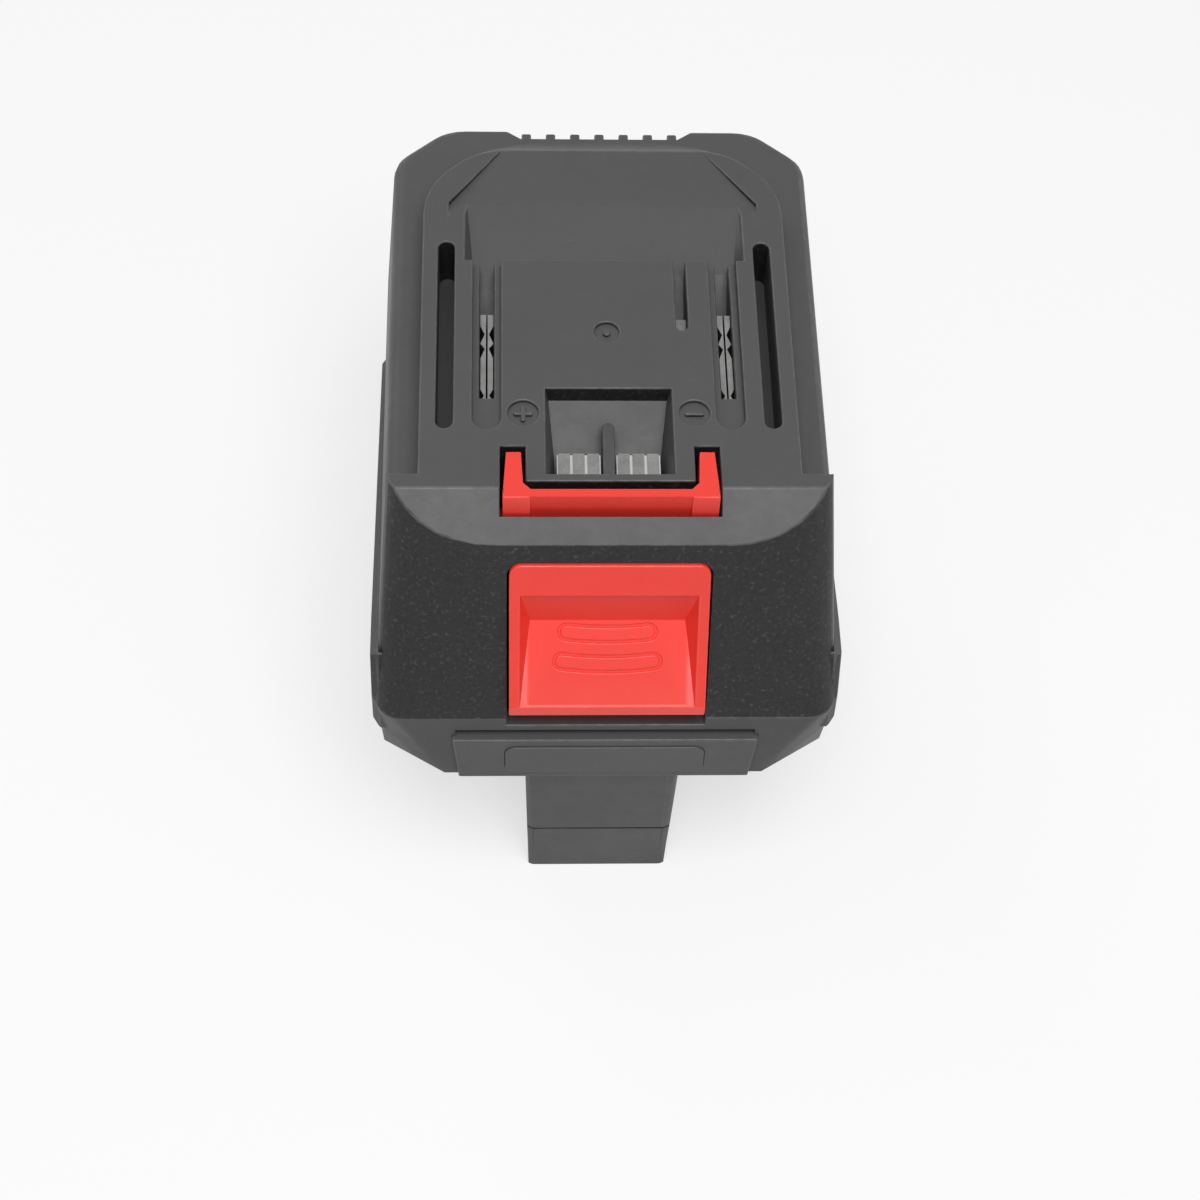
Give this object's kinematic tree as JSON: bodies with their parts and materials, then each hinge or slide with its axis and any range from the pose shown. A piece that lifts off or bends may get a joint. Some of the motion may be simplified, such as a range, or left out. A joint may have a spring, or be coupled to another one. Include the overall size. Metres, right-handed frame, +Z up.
{
  "type": "tool battery adapter",
  "caption": "Tool battery adapter with a slide plate, terminal slots and sprung red release latch on top, and a stem below that carries a battery pack on each side.",
  "frame": {"origin": "middle of the overall box on the surface that the stem's foot stands on", "axes": "+Z up, +Y to the rear grip, so -Y is the side with the release button, and +X to the right as seen from the button"},
  "size_m": [0.079, 0.107, 0.0932],
  "materials": {
    "grey_plastic": "fine moulded grain",
    "dark_plastic": "moulded grain",
    "badge": "satin, bare",
    "red_plastic": "satin moulding",
    "steel": "zinc plated",
    "contact": "tinned spring metal",
    "black_plastic": "glass filled",
    "socket_plastic": "plain moulding",
    "board": "lacquered laminate",
    "capacitor": "sleeved can",
    "fuse": "clear tinted",
    "red_lead": "insulation",
    "black_lead": "insulation",
    "yellow_lead": "insulation"
  },
  "bodies": {
    "housing": {"top_cover": "grey_plastic", "bottom_cover": "dark_plastic", "front_plate": "grey_plastic", "badge": "badge", "latch_springs": "steel", "positive_clip": "contact", "negative_clip": "contact", "signal_clip": "contact", "terminal_block": "black_plastic", "signal_socket": "socket_plastic", "signal_contacts": "contact", "circuit_board": "board", "board_screws": "steel", "power_diodes": "black_plastic", "capacitors": "capacitor", "fuse": "fuse", "positive_leads": "red_lead", "negative_leads": "black_lead", "signal_leads": "yellow_lead", "stem_body": "dark_plastic", "stem_foot": "dark_plastic", "left_slide_rail": "black_plastic", "right_slide_rail": "black_plastic", "left_blade_holder": "black_plastic", "right_blade_holder": "black_plastic", "left_positive_blade": "contact", "left_negative_blade": "contact", "left_signal_blade": "contact", "right_positive_blade": "contact", "right_negative_blade": "contact", "right_signal_blade": "contact", "cover_screws": "steel", "stem_screws": "steel", "foot_screws": "steel", "left_rail_screws": "steel", "right_rail_screws": "steel"},
    "latch": {"release_latch": "red_plastic"}
  },
  "joints": [
    {"name": "latch_slide", "type": "slide", "parent": "housing", "child": "latch", "axis": [0, 0, -1], "range_m": [0, 0.0035], "stiffness_N_per_m": 400, "springref_m": -0.008, "deforming": ["latch_springs"]}
  ]
}
